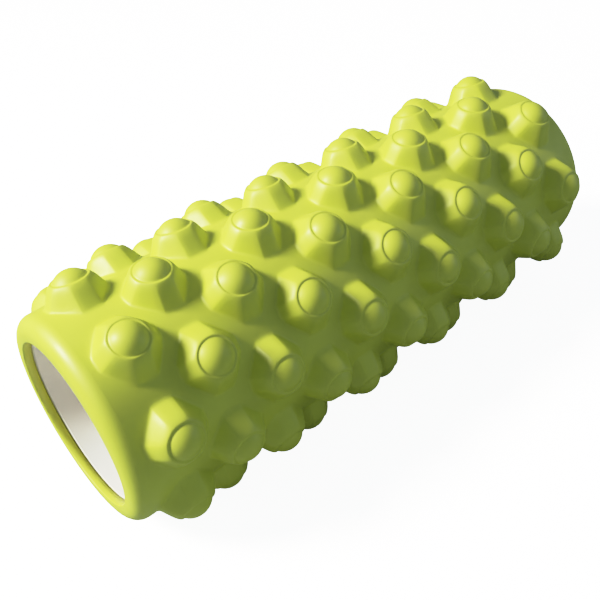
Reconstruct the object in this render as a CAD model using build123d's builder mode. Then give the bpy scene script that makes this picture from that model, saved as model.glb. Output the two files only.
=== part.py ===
from build123d import *

# Studded foam massage roller: a moulded foam sleeve with pyramid studs on a hollow plastic core.
#
# It is modelled as it lies on a flat surface. X runs along the roller, +Z is up, and the origin
# is on the surface, under the middle of the roller. Lengths are in millimetres and angles in
# degrees.
import os
from math import cos, radians, sin

# Core tube
core_bore_radius = 43.5
core_wall = 3.0
core_edge = 0.5              # broken edges at the ends of the tube

# Foam sleeve
sleeve_length = 330.0
foam_thickness = 8.3         # from the tube to the foam's surface between the studs
end_edge_radius = 6.8        # rounding between that surface and the end faces
lip_thickness = 4.6          # foam lip that covers each end of the tube
lip_edge_radius = 0.8        # rounding of the lip at the mouth of the bore

# Fits
core_fit = 0.0               # the foam is stretched on and grips the tube all over
core_end_gap = 0.4           # between each end of the tube and its lip
lip_overhang = 0.0           # how far the lips stand into the bore past the tube's wall

# Studs
row_pitch = 27.8             # along the roller
row_end_margin = 24.0        # least distance from an end face to the middle of a stud
studs_per_row = 8
stud_height = 9.8            # from the surface between the studs to the flat ring round a dome
stud_top_width = 21.0        # across the sharp corners that the ring would have, flat to flat
ring_width = 1.9             # from those flats in to the foot of the dome
broad_face_slope = 0.33      # growth in half width for each millimetre down the stud
narrow_face_slope = 0.47
broad_face_turn = 42.0       # from the roller's length to the normal of a broad face
stud_shoulder = 1.2          # rounding from the flat ring to the side faces
stud_root_depth = 4.0        # how far the stud's solid runs into the foam below its foot
dome_height = 3.9

# What follows from them
core_outer_radius = core_bore_radius + core_wall
core_length = sleeve_length - 2 * (lip_thickness + core_end_gap)
seat_radius = core_outer_radius + core_fit
seat_length = sleeve_length - 2 * lip_thickness
lip_radius = core_bore_radius - lip_overhang
base_radius = seat_radius + foam_thickness
stud_top_radius = base_radius + stud_height
stud_root_radius = base_radius - stud_root_depth
stud_step = 360.0 / studs_per_row
row_count = 1 + int((sleeve_length - 2 * row_end_margin) / row_pitch)
first_row_x = -row_pitch * (row_count - 1) / 2
dome_base_radius = stud_top_width / 2 - ring_width
dome_tip_radius = stud_top_radius + dome_height
dome_ball_radius = (dome_base_radius**2 + dome_height**2) / (2 * dome_height)

# The roller lies on two neighbouring lines of studs, one of the even rows and one of the odd
# rows, so the downward direction is midway between them, and it touches on the domes' flanks.
lean = stud_step / 4
first_stud_angle = -90.0 - lean
axis_height = (dome_tip_radius - dome_ball_radius) * cos(radians(lean)) + dome_ball_radius
roller_axis = Axis((0, 0, axis_height), (1, 0, 0))
half_section = Plane(origin=(0, 0, axis_height), x_dir=(1, 0, 0), z_dir=(0, -1, 0))


def cross_section(x):
    """Plane across the roller at x, with its own x to +Y and its own y to +Z."""
    return Plane(origin=(x, 0, axis_height), x_dir=(0, 1, 0), z_dir=(1, 0, 0))


def stud_outline(depth):
    """Corners of a stud's eight-sided section at a depth below its flat ring.

    Each corner is where a narrow face meets a broad one. The first number is across the roller
    and the second is along it.
    """
    narrow = stud_top_width / 2 + narrow_face_slope * depth
    broad = stud_top_width / 2 + broad_face_slope * depth
    turn = radians(broad_face_turn)
    side_y, side_x = narrow, (broad - narrow * sin(turn)) / cos(turn)
    end_y, end_x = (broad - narrow * cos(turn)) / sin(turn), narrow
    front = [(side_y, -side_x), (side_y, side_x), (end_y, end_x), (-end_y, end_x)]
    return front + [(-y, -x) for y, x in front]


os.makedirs("parts", exist_ok=True)

# Core tube: a length of extruded pipe with its edges broken.
with BuildPart() as core_tube:
    with BuildSketch(cross_section(-core_length / 2)):
        Circle(core_outer_radius)
        Circle(core_bore_radius, mode=Mode.SUBTRACT)
    extrude(amount=core_length)
    pipe_ends = core_tube.faces().filter_by(Axis.X)
    chamfer(pipe_ends.edges(), length=core_edge)

# One stud, pointing along +X, with the roller's length on its Z: a tapered eight-sided block
# with a low dome on its flat top.
with BuildPart() as stud:
    with BuildSketch(Plane.YZ.offset(stud_root_radius)):
        Polygon(*stud_outline(stud_height + stud_root_depth), align=None)
    with BuildSketch(Plane.YZ.offset(stud_top_radius)):
        Polygon(*stud_outline(0.0), align=None)
    loft(ruled=True)
    flat_top = stud.faces().sort_by(Axis.X)[-1]
    fillet(flat_top.edges(), radius=stud_shoulder)
    with BuildSketch(Plane.XY):
        with BuildLine():
            foot = (stud_top_radius, dome_base_radius)
            tip = (dome_tip_radius, 0)
            RadiusArc(foot, tip, dome_ball_radius)
            Polyline(tip, (stud_top_radius, 0), foot)
        make_face()
    revolve(axis=Axis.X)

# Foam sleeve: a hollow body with a lip at each end, and the studs moulded in one with it. Each
# row is turned by half a step from the rows beside it.
stud_places = []
for row in range(row_count):
    row_place = cross_section(first_row_x + row * row_pitch).location
    for number in range(studs_per_row):
        turn = first_stud_angle + (number + (row % 2) / 2) * stud_step
        stud_places.append(row_place * Location((0, 0, 0), (0, 0, turn)))

with BuildPart() as foam_sleeve:
    with BuildSketch(half_section) as sleeve_section:
        Rectangle(sleeve_length, base_radius, align=(Align.CENTER, Align.MIN))
        Rectangle(sleeve_length, lip_radius, align=(Align.CENTER, Align.MIN), mode=Mode.SUBTRACT)
        corners = sleeve_section.vertices().group_by(Axis.Y)
        fillet(corners[-1], radius=end_edge_radius)
        corners = sleeve_section.vertices().group_by(Axis.Y)
        fillet(corners[0], radius=lip_edge_radius)
        Rectangle(seat_length, seat_radius, align=(Align.CENTER, Align.MIN), mode=Mode.SUBTRACT)
    revolve(axis=roller_axis)
    with Locations(stud_places):
        add(stud.part)

foam_sleeve.part.label = "foam_sleeve"
export_step(foam_sleeve.part, "parts/foam_sleeve.step")
core_tube.part.label = "core_tube"
export_step(core_tube.part, "parts/core_tube.step")
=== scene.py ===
import math

import bmesh
import bpy
import numpy as np
from mathutils import Matrix, Vector


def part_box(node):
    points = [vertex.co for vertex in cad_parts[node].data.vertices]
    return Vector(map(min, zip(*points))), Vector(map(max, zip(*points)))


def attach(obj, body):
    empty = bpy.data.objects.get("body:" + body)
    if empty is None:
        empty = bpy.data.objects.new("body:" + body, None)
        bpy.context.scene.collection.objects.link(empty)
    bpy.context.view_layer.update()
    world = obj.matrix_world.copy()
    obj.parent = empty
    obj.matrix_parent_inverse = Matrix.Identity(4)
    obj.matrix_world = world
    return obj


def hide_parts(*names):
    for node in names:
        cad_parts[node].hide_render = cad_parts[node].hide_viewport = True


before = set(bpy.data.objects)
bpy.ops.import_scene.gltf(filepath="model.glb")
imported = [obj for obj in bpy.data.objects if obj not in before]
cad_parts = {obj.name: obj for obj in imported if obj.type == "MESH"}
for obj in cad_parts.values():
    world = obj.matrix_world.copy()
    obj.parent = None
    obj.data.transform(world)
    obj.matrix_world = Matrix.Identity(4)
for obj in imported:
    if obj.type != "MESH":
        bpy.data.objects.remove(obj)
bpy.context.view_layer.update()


# ---------------------------------------------------------------- Foam sleeve
# The sleeve is one closed-cell EVA foam moulding: a tube with a lip at each end and rows of
# eight-sided studs, each with a dome in a ring groove. It is stretched over the core, and its
# lips keep the core in. The mould leaves soft edges and a smooth satin skin.

MM = 0.001                  # sizes are in millimetres until a mesh is made
sleeve_low, sleeve_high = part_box("foam_sleeve")
tube_low, tube_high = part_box("core_tube")
half_length = (sleeve_high.x - sleeve_low.x) / 2 / MM
axis_height = (tube_high.z + tube_low.z) / 2 / MM
seat_radius = (tube_high.y - tube_low.y) / 2 / MM

TUBE_WALL = 3.0
FOAM_THICKNESS = 8.3        # from the tube to the foam's surface between the studs
END_EDGE = 7.4              # rounding between that surface and the end faces
LIP_THICKNESS = 4.3         # drawn thinner than the solid's, so that the gap at the tube's end shows
LIP_EDGE = 0.5              # rounding of the lip at the mouth of the bore
base_radius = seat_radius + FOAM_THICKNESS
lip_radius = seat_radius - TUBE_WALL

ROWS = 11
ROW_PITCH = 27.8
STUDS_PER_ROW = 8
stud_step = 2 * math.pi / STUDS_PER_ROW
lean = stud_step / 4        # the roller lies between an even and an odd line of studs
end_row_x = ROW_PITCH * (ROWS - 1) / 2

STUD_HEIGHT = 9.8           # from the surface between the studs to the ring round a dome
TOP_HALF_WIDTH = 9.9        # at the ring, before it is rounded
BROAD_SLOPE = 0.40          # growth in half width for each millimetre down the stud
NARROW_SLOPE = 0.53
BROAD_TURN = math.radians(42)   # from the roller's length to the normal of a broad face
FACE_EDGE = 1.3             # rounding between two side faces
RIM_RADIUS = 8.7            # where the round top begins to fall away
RIM_FALL = 0.9              # fall for each millimetre outwards, until the side faces cut it
RIM_ROUND = 0.8             # rounding where the fall starts
SHOULDER = 1.0              # rounding between the round top and the side faces
ROOT = 1.0                  # hollow rounding at the stud's foot
DOME_RADIUS = 8.0
DOME_HEIGHT = 3.9
GROOVE_WIDTH = 1.1
GROOVE_DEPTH = 0.3
stud_top = base_radius + STUD_HEIGHT


def rounded_and(a, b, radius):
    """The space inside both, with the edge between them rounded."""
    inner = np.minimum(-radius, np.maximum(a, b))
    return inner + np.hypot(np.maximum(radius + a, 0), np.maximum(radius + b, 0))


def rounded_or(a, b, radius):
    """The space inside either, with the corner between them filled."""
    outer = np.maximum(radius, np.minimum(a, b))
    return outer - np.hypot(np.maximum(radius - a, 0), np.maximum(radius - b, 0))


def half_widths(depth):
    """Half widths across a stud's narrow and broad faces, at a depth below its ring."""
    return TOP_HALF_WIDTH + NARROW_SLOPE * depth, TOP_HALF_WIDTH + BROAD_SLOPE * depth


def foam_field(along, across, height):
    """Below zero inside the foam round one stud. Height is from the roller's axis."""
    depth = stud_top - height
    along, across = np.abs(along), np.abs(across)
    narrow, broad = half_widths(depth)
    end_face = (along - narrow) / math.hypot(1, NARROW_SLOPE)
    side_face = (across - narrow) / math.hypot(1, NARROW_SLOPE)
    diagonal = along * math.cos(BROAD_TURN) + across * math.sin(BROAD_TURN)
    broad_face = (diagonal - broad) / math.hypot(1, BROAD_SLOPE)
    sides = rounded_and(rounded_and(end_face, broad_face, FACE_EDGE), side_face, FACE_EDGE)
    past_rim = np.maximum(np.hypot(along, across) - RIM_RADIUS, 0)
    slant = np.hypot(past_rim, RIM_ROUND)
    fall = RIM_FALL * (slant - RIM_ROUND)
    round_top = (fall - depth) / np.hypot(1, RIM_FALL * past_rim / slant)
    stud = rounded_and(sides, round_top, SHOULDER)
    base = np.hypot(across, height) - base_radius
    return rounded_or(stud, base, ROOT)


HALVINGS = 36               # enough to find the surface to a small part of a micrometre


def foam_height(along, across):
    """Height of the foam's surface over each point, found by halving."""
    low = np.full_like(along, base_radius / 2)
    high = np.full_like(along, stud_top + DOME_HEIGHT)
    for _ in range(HALVINGS):
        middle = (low + high) / 2
        inside = foam_field(along, across, middle) < 0
        low = np.where(inside, middle, low)
        high = np.where(inside, high, middle)
    return low


# Each stud is meshed as a patch, with rings of points from its dome out to a border halfway to
# its neighbours. A quarter of a ring runs from the middle of the end face to the middle of the
# side face in twelve steps: two on the half end face, two round each corner, four on the broad
# face and two on the half side face.
QUARTER = 12
SPOKES = 4 * QUARTER
BROAD_FACE_STEPS = 4
CORNER_POINTS = 3
END_FACE_SHARE = 0.6        # place of the step on the half end face, from its middle
SIDE_FACE_SHARE = 0.5


def all_round(quarter):
    """Closes a quarter outline, as (along, across) points, by mirroring it twice."""
    half = np.vstack([quarter, quarter[-2::-1] * [-1, 1]])
    return np.vstack([half, half[-2:0:-1] * [1, -1]])


def line_points(start, stop, steps):
    """Points at equal steps from start towards stop, without stop itself."""
    return np.linspace(start, stop, steps, endpoint=False)


def rounded_corner(centre, first_angle, last_angle):
    """Points round the corner between two side faces."""
    angles = np.linspace(first_angle, last_angle, CORNER_POINTS)
    return centre + FACE_EDGE * np.column_stack([np.cos(angles), np.sin(angles)])


def stud_outline(depth):
    """A stud's level section with rounded corners, at a depth below its ring."""
    narrow, broad = (width - FACE_EDGE for width in half_widths(depth))
    sin, cos = math.sin(BROAD_TURN), math.cos(BROAD_TURN)
    end_centre = np.array([narrow, (broad - narrow * cos) / sin])
    side_centre = np.array([(broad - narrow * sin) / cos, narrow])
    end_corner = rounded_corner(end_centre, 0, BROAD_TURN)
    side_corner = rounded_corner(side_centre, BROAD_TURN, math.pi / 2)
    half_end = end_corner[0] * [[1, 0], [1, END_FACE_SHARE]]
    broad_face = line_points(end_corner[-1], side_corner[0], BROAD_FACE_STEPS)[1:]
    half_side = side_corner[-1] * [[SIDE_FACE_SHARE, 1], [0, 1]]
    return all_round(np.vstack([half_end, end_corner, broad_face, side_corner, half_side]))


# The border is six-sided. In a quarter of it, ten steps run beside the next row and two beside
# the next stud of the same row. On the outer side of an end row the border goes straight out to
# a seam round the roller instead, just before the rounding of the end.
BESIDE_ROW_STEPS = 10
BESIDE_STUD_STEPS = QUARTER - BESIDE_ROW_STEPS
TO_SEAM_STEPS = 6
SEAM_STEPS = 2 * (QUARTER - TO_SEAM_STEPS)      # round the roller, for each stud of an end row
SEAM_TO_ROUNDING = 0.2
half_gap = stud_step / 2 * base_radius
patch_tip = (ROW_PITCH**2 + half_gap**2) / (2 * ROW_PITCH)
patch_corner = (ROW_PITCH**2 - half_gap**2) / (2 * ROW_PITCH)
seam = half_length - END_EDGE - SEAM_TO_ROUNDING - end_row_x


def patch_border(is_end_row):
    """The border of a stud's patch, as (along, across) points beside the stud's spokes."""
    beside_row = line_points((patch_tip, 0), (patch_corner, half_gap), BESIDE_ROW_STEPS)
    beside_stud = line_points((patch_corner, half_gap), (0, half_gap), BESIDE_STUD_STEPS)
    border = all_round(np.vstack([beside_row, beside_stud, (0, half_gap)]))
    if is_end_row:
        out = line_points((0, half_gap), (-seam, half_gap), TO_SEAM_STEPS)
        on_seam = line_points((-seam, half_gap), (-seam, -half_gap), SEAM_STEPS)
        back = line_points((-seam, -half_gap), (0, -half_gap), TO_SEAM_STEPS)
        border[QUARTER:3 * QUARTER] = np.vstack([out, on_seam, back])
    return np.column_stack([border[:, 0], base_radius * np.sin(border[:, 1] / base_radius)])


FOOT_ROUNDS = 12            # the foot settles well before this


def stud_foot():
    """Where the side faces would meet the foam between the studs without rounding."""
    depths = np.full(SPOKES, STUD_HEIGHT)
    for _ in range(FOOT_ROUNDS):
        outline = np.array([stud_outline(depth)[spoke] for spoke, depth in enumerate(depths)])
        depths = stud_top - np.sqrt(base_radius**2 - outline[:, 1]**2)
    return outline


DOME_RINGS = (0.24, 0.46, 0.66, 0.83, 0.95, 1.01)       # shares of the dome's radius
GROOVE_RINGS = ((0.45, 1.0), (0.8, 0.5), (1.1, 0.0))    # shares of its width and of its depth
OUTER_RINGS = 12
NECK_DEPTH = 2.5            # depth of the outline that leads from the round top to the sides
LEG_POINTS = 80             # where the path out is tested, on each of its three legs
TURN_WORTH = 9.0            # millimetres of path that count as much as one radian of turn


def path_outwards(start, is_end_row):
    """Points from the groove to the border along each spoke, as (along, across), and heights."""
    stops = [start, stud_outline(NECK_DEPTH), stud_foot(), patch_border(is_end_row)]
    last_leg = len(stops) - 2
    path = []
    for leg in range(len(stops) - 1):
        for share in np.linspace(0, 1, LEG_POINTS, endpoint=leg == last_leg):
            path.append(stops[leg] + (stops[leg + 1] - stops[leg]) * share)
    path = np.array(path)
    return path, foam_height(path[..., 0], path[..., 1])


def patch_rings(is_end_row):
    """Rings of points from a stud's dome out to its patch's border: (along, across, height)."""
    angles = np.arange(SPOKES) * 2 * math.pi / SPOKES
    circle = np.column_stack([np.cos(angles), np.sin(angles)])
    ball = (DOME_RADIUS**2 + DOME_HEIGHT**2) / (2 * DOME_HEIGHT)
    ball_centre = stud_top + DOME_HEIGHT - ball
    rings = []
    for share in DOME_RINGS:
        radius = DOME_RADIUS * share
        height = ball_centre + math.sqrt(ball**2 - radius**2)
        rings.append(np.column_stack([circle * radius, np.full(SPOKES, height)]))
    for width_share, depth_share in GROOVE_RINGS:
        ring = circle * (DOME_RADIUS + GROOVE_WIDTH * width_share)
        height = foam_height(ring[:, 0], ring[:, 1]) - GROOVE_DEPTH * depth_share
        rings.append(np.column_stack([ring, height]))

    # From the groove to the border the rings crowd where the surface turns.
    path, levels = path_outwards(rings[-1][:, :2], is_end_row)
    run = np.hypot(*np.diff(path, axis=0).transpose(2, 0, 1))
    rise = np.diff(levels, axis=0)
    steepness = np.arctan2(rise, run)
    turn = np.abs(np.diff(steepness, axis=0, prepend=steepness[:1]))
    steps = np.hypot(run, rise) + TURN_WORTH * turn
    weight = np.vstack([np.zeros(SPOKES), np.cumsum(steps, axis=0)])
    for share in np.linspace(0, 1, OUTER_RINGS + 1)[1:]:
        ring = np.empty((SPOKES, 3))
        for spoke in range(SPOKES):
            wanted = weight[-1, spoke] * share
            columns = (path[:, spoke, 0], path[:, spoke, 1], levels[:, spoke])
            ring[spoke] = [np.interp(wanted, weight[:, spoke], values) for values in columns]
        rings.append(ring)
    return ball_centre + ball, np.array(rings)


def patch_mesh(is_end_row):
    """One stud's patch as points, and faces with the dome's middle triangles last."""
    tip, rings = patch_rings(is_end_row)
    count, around = rings.shape[:2]
    points = np.vstack([[0, 0, tip], rings.reshape(-1, 3)])
    ring, spoke = np.meshgrid(np.arange(count - 1), np.arange(around), indexing="ij")
    here = 1 + ring * around + spoke
    beside = 1 + ring * around + (spoke + 1) % around
    quads = np.stack([here, here + around, beside + around, beside], -1).reshape(-1, 4)
    fan = [(0, 1 + spoke, 1 + (spoke + 1) % around) for spoke in range(around)]
    return points, quads.tolist() + fan


def round_the_axis(along, across, height, angle):
    """Points beside a stud, in metres, with the stud turned to its angle on the roller."""
    y = height * math.cos(angle) - across * math.sin(angle)
    z = height * math.sin(angle) + across * math.cos(angle) + axis_height
    return np.column_stack([along, y, z]) * MM


END_EDGE_POINTS = 9
LIP_EDGE_POINTS = 4


def end_outline():
    """Section of the plain left end, from the seam round the lip to the core's seat."""
    face = -half_length
    outline = [(-seam - end_row_x, base_radius)]
    for angle in np.radians(np.linspace(90, 180, END_EDGE_POINTS)):
        outline.append((face + END_EDGE * (1 + math.cos(angle)),
                        base_radius - END_EDGE * (1 - math.sin(angle))))
    for angle in np.radians(np.linspace(180, 270, LIP_EDGE_POINTS)):
        outline.append((face + LIP_EDGE * (1 + math.cos(angle)),
                        lip_radius + LIP_EDGE * (1 + math.sin(angle))))
    outline.append((face + LIP_THICKNESS, lip_radius))
    outline.append((face + LIP_THICKNESS, seat_radius))
    return outline


WELD = 0.02                 # points of neighbouring patches closer than this become one
points, faces = [], []
point_count = 0
patches = {is_end_row: patch_mesh(is_end_row) for is_end_row in (False, True)}
for row in range(ROWS):
    patch, patch_faces = patches[row in (0, ROWS - 1)]
    flip = row == ROWS - 1
    side = -1 if flip else 1
    along = row * ROW_PITCH - end_row_x + side * patch[:, 0]
    for number in range(STUDS_PER_ROW):
        angle = -math.pi / 2 - lean + (number + (row % 2) / 2) * stud_step
        points.append(round_the_axis(along, patch[:, 1], patch[:, 2], angle))
        for face in patch_faces:
            corners = [point_count + corner for corner in face]
            faces.append(corners[::-1] if flip else corners)
        point_count += len(patch)

# The rest is turned on the axis: the two ends and, between them, the seat for the core.
left_end = end_outline()
section = left_end + [(-x, radius) for x, radius in reversed(left_end)]
around = SEAM_STEPS * STUDS_PER_ROW
first_angle = -math.pi / 2 - lean - stud_step / 2
for x, radius in section:
    for step in range(around):
        angle = first_angle + step * 2 * math.pi / around
        points.append(round_the_axis([x], 0.0, np.array([radius]), angle))
for ring in range(len(section) - 1):
    for step in range(around):
        here = point_count + ring * around + step
        beside = point_count + ring * around + (step + 1) % around
        faces.append([here, beside, beside + around, here + around])

sleeve_mesh = bpy.data.meshes.new("foam_sleeve_skin")
sleeve_mesh.from_pydata(np.vstack(points).tolist(), [], faces)
welded = bmesh.new()
welded.from_mesh(sleeve_mesh)
bmesh.ops.remove_doubles(welded, verts=welded.verts, dist=WELD * MM)
bmesh.ops.recalc_face_normals(welded, faces=welded.faces)
welded.to_mesh(sleeve_mesh)
welded.free()
sleeve_mesh.shade_smooth()
sleeve = bpy.data.objects.new("foam_sleeve_moulding", sleeve_mesh)
bpy.context.scene.collection.objects.link(sleeve)


def linear(code):
    """An sRGB hex colour as the linear RGBA that the shaders take."""
    shares = [int(code[start:start + 2], 16) / 255 for start in (0, 2, 4)]
    return [s / 12.92 if s <= 0.04045 else ((s + 0.055) / 1.055) ** 2.4 for s in shares] + [1.0]


def add_node(owner, kind, inputs=None, **settings):
    """Adds a node to a material or world. An input is a value or the socket that feeds it."""
    tree = owner.node_tree
    node = tree.nodes.new(kind)
    for name, value in settings.items():
        setattr(node, name, value)
    for name, value in (inputs or {}).items():
        if isinstance(value, bpy.types.NodeSocket):
            tree.links.new(value, node.inputs[name])
        else:
            node.inputs[name].default_value = value
    return node


def empty_material(name):
    material = bpy.data.materials.new(name)
    material.use_nodes = True
    material.node_tree.nodes.clear()
    return material


# Moulded closed-cell EVA foam. The pigment is very slightly uneven, so the colour isn't flat.
# The skin has a leathery grain of about 0.5 mm, drawn coarser so that it shows at all, which
# breaks up the edges of highlights close up. Its shine varies a little from place to place,
# which keeps the broad highlights from looking painted on.
PIGMENT_PATCH = 16.7
SHINE_PATCH = 11.8
GRAIN_WIDTH = 0.8
GRAIN_DEPTH = 0.1
foam = empty_material("eva_foam_lime_satin_skin")
place = add_node(foam, "ShaderNodeTexCoord").outputs["Object"]
mottle = add_node(foam, "ShaderNodeTexNoise", {
    "Vector": place, "Scale": 1 / (PIGMENT_PATCH * MM), "Detail": 3.0})
tint = add_node(foam, "ShaderNodeMix", {
    "Factor": mottle.outputs["Fac"], 6: linear("d1da47"), 7: linear("d7e04f")}, data_type="RGBA")
shine = add_node(foam, "ShaderNodeTexNoise", {
    "Vector": place, "Scale": 1 / (SHINE_PATCH * MM), "Detail": 2.0})
roughness = add_node(foam, "ShaderNodeMapRange", {
    "Value": shine.outputs["Fac"], "From Min": 0.35, "From Max": 0.65,
    "To Min": 0.46, "To Max": 0.54})
grain = add_node(foam, "ShaderNodeTexVoronoi", {
    "Vector": place, "Scale": 1 / (GRAIN_WIDTH * MM)}, feature="SMOOTH_F1")
skin = add_node(foam, "ShaderNodeBump", {
    "Height": grain.outputs["Distance"], "Strength": 0.12, "Distance": GRAIN_DEPTH * MM})
surface = add_node(foam, "ShaderNodeBsdfPrincipled", {
    "Base Color": tint.outputs[2], "Roughness": roughness.outputs["Result"],
    "Specular IOR Level": 0.75, "IOR": 1.5, "Normal": skin.outputs["Normal"]})
add_node(foam, "ShaderNodeOutputMaterial", {"Surface": surface.outputs["BSDF"]})
sleeve.data.materials.append(foam)
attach(sleeve, "root")
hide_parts("foam_sleeve")


# ---------------------------------------------------------------- Core tube
# The core is one length of extruded ABS pipe, cut square, which the sleeve grips all along. It
# ends just inside the sleeve's lips, and its open bore runs right through the roller.

# Extruded ABS, off-white. The die leaves faint lines along the pipe, about 1 mm apart and drawn
# at 2 mm so that they show, which streak the reflections along the bore.
LINE_SPACING = 2.0
LINE_DEPTH = 0.1
LINE_STRETCH = 50           # how much longer than wide the lines are
plastic = empty_material("abs_pipe_off_white_extruded")
place = add_node(plastic, "ShaderNodeTexCoord").outputs["Object"]
stretched = add_node(plastic, "ShaderNodeMapping", {
    "Vector": place, "Scale": (1 / LINE_STRETCH, 1.0, 1.0)})
lines = add_node(plastic, "ShaderNodeTexNoise", {
    "Vector": stretched.outputs["Vector"], "Scale": 1 / (LINE_SPACING * MM), "Detail": 2.0})
streaks = add_node(plastic, "ShaderNodeBump", {
    "Height": lines.outputs["Fac"], "Strength": 0.1, "Distance": LINE_DEPTH * MM})
surface = add_node(plastic, "ShaderNodeBsdfPrincipled", {
    "Base Color": linear("f6f0ea"), "Roughness": 0.42, "IOR": 1.54,
    "Normal": streaks.outputs["Normal"]})
add_node(plastic, "ShaderNodeOutputMaterial", {"Surface": surface.outputs["BSDF"]})
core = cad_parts["core_tube"]
core.data.materials.clear()
core.data.materials.append(plastic)


# ---------------------------------------------------------------- Floor, lights and camera
# The roller lies on a plain white sheet in a dim cool room. A soft box stands high behind its
# left end, and a wide, weak one fills the shade from the right.

# White paper. It glows to the camera and shows as plain white, but it throws little light back,
# so the shaded side of the roller keeps its depth.
FLOOR_REACH = 4.0           # in metres
floor_corners = [(x * FLOOR_REACH, y * FLOOR_REACH, 0) for x, y in ((-1, -1), (1, -1), (1, 1), (-1, 1))]
floor_mesh = bpy.data.meshes.new("floor")
floor_mesh.from_pydata(floor_corners, [], [(0, 1, 2, 3)])
floor = bpy.data.objects.new("floor", floor_mesh)
bpy.context.scene.collection.objects.link(floor)
paper = empty_material("floor_paper")
glow = add_node(paper, "ShaderNodeEmission", {"Color": linear("ffffff"), "Strength": 1.9})
white = add_node(paper, "ShaderNodeBsdfDiffuse", {"Color": linear("f2f2f2")})
seen = add_node(paper, "ShaderNodeAddShader", {
    0: glow.outputs["Emission"], 1: white.outputs["BSDF"]})
grey = add_node(paper, "ShaderNodeBsdfDiffuse", {"Color": linear("8d9996")})
ray = add_node(paper, "ShaderNodeLightPath")
sheet = add_node(paper, "ShaderNodeMixShader", {
    0: ray.outputs["Is Camera Ray"], 1: grey.outputs["BSDF"], 2: seen.outputs["Shader"]})
add_node(paper, "ShaderNodeOutputMaterial", {"Surface": sheet.outputs["Shader"]})
floor_mesh.materials.append(paper)

studio = bpy.data.worlds.new("studio")
bpy.context.scene.world = studio
studio.use_nodes = True
studio.node_tree.nodes.clear()
room = add_node(studio, "ShaderNodeBackground", {"Color": linear("cadffa"), "Strength": 0.26})
backdrop = add_node(studio, "ShaderNodeBackground", {"Color": linear("ffffff"), "Strength": 3.0})
ray = add_node(studio, "ShaderNodeLightPath")
surround = add_node(studio, "ShaderNodeMixShader", {
    0: ray.outputs["Is Camera Ray"], 1: room.outputs["Background"],
    2: backdrop.outputs["Background"]})
add_node(studio, "ShaderNodeOutputWorld", {"Surface": surround.outputs["Shader"]})


def soft_light(name, azimuth, elevation, distance, size, watts, colour):
    """A round soft box that faces the roller. Azimuth is from +X towards +Y, in degrees."""
    azimuth, elevation = math.radians(azimuth), math.radians(elevation)
    towards = Vector((math.cos(azimuth) * math.cos(elevation),
                      math.sin(azimuth) * math.cos(elevation), math.sin(elevation)))
    lamp = bpy.data.lights.new(name, "AREA")
    lamp.shape = "DISK"
    lamp.size = size
    lamp.energy = watts
    lamp.color = linear(colour)[:3]
    lamp_object = bpy.data.objects.new(name, lamp)
    lamp_object.location = Vector((0, 0, axis_height * MM)) + towards * distance
    lamp_object.rotation_euler = towards.to_track_quat("Z", "Y").to_euler()
    bpy.context.scene.collection.objects.link(lamp_object)


soft_light("key", azimuth=153, elevation=42.5, distance=2.2, size=0.7, watts=76.0, colour="fff8ea")
soft_light("fill", azimuth=-35, elevation=15, distance=2.2, size=1.4, watts=4.5, colour="d0e4f0")

# The camera looks down at the near end and the front, close by and a little rolled.
VIEW_DISTANCE = 423.9
VIEW_AZIMUTH = math.radians(-36.03)
VIEW_ELEVATION = math.radians(34.26)
VIEW_ROLL = math.radians(8.9)
view_aim = Vector((-20.8, 5.7, axis_height - 11.2))
back = Vector((math.sin(VIEW_AZIMUTH) * math.cos(VIEW_ELEVATION),
               -math.cos(VIEW_AZIMUTH) * math.cos(VIEW_ELEVATION), math.sin(VIEW_ELEVATION)))
facing = (-back).to_track_quat("-Z", "Y").to_matrix().to_4x4()
camera_data = bpy.data.cameras.new("camera")
camera_data.sensor_width = 36.0
camera_data.lens = 44.56
camera = bpy.data.objects.new("camera", camera_data)
bpy.context.scene.collection.objects.link(camera)
bpy.context.scene.camera = camera
camera.matrix_world = (Matrix.Translation((view_aim + back * VIEW_DISTANCE) * MM)
                       @ facing @ Matrix.Rotation(-VIEW_ROLL, 4, "Z"))

# The film leaves tones up to 0.6 as they are and presses brighter ones together, so that lit
# foam keeps its shape and only the sheet is quite white. It then holds back red a little in the
# middle tones, which turns foam on the edge of the shade from yellow towards green.
WHITE = 3.0                 # the brightness that shows as white
SHOULDER_TONES = ((0.3, 0.3), (0.6, 0.6), (0.8, 0.73), (1.0, 0.795), (1.3, 0.86), (1.8, 0.94),
                  (2.4, 0.985))
RED_TONES = ((0.16, 0.156), (0.4, 0.368), (0.62, 0.61), (0.8, 0.805))
RED, ALL_COLOURS = 0, 3
view = bpy.context.scene.view_settings
view.view_transform = "Standard"
view.use_curve_mapping = True
film = view.curve_mapping
film.white_level = (WHITE, WHITE, WHITE)
film.use_clip = True
for light, shown in SHOULDER_TONES:
    film.curves[ALL_COLOURS].points.new(light / WHITE, shown)
for light, shown in RED_TONES:
    film.curves[RED].points.new(light, shown)
film.update()
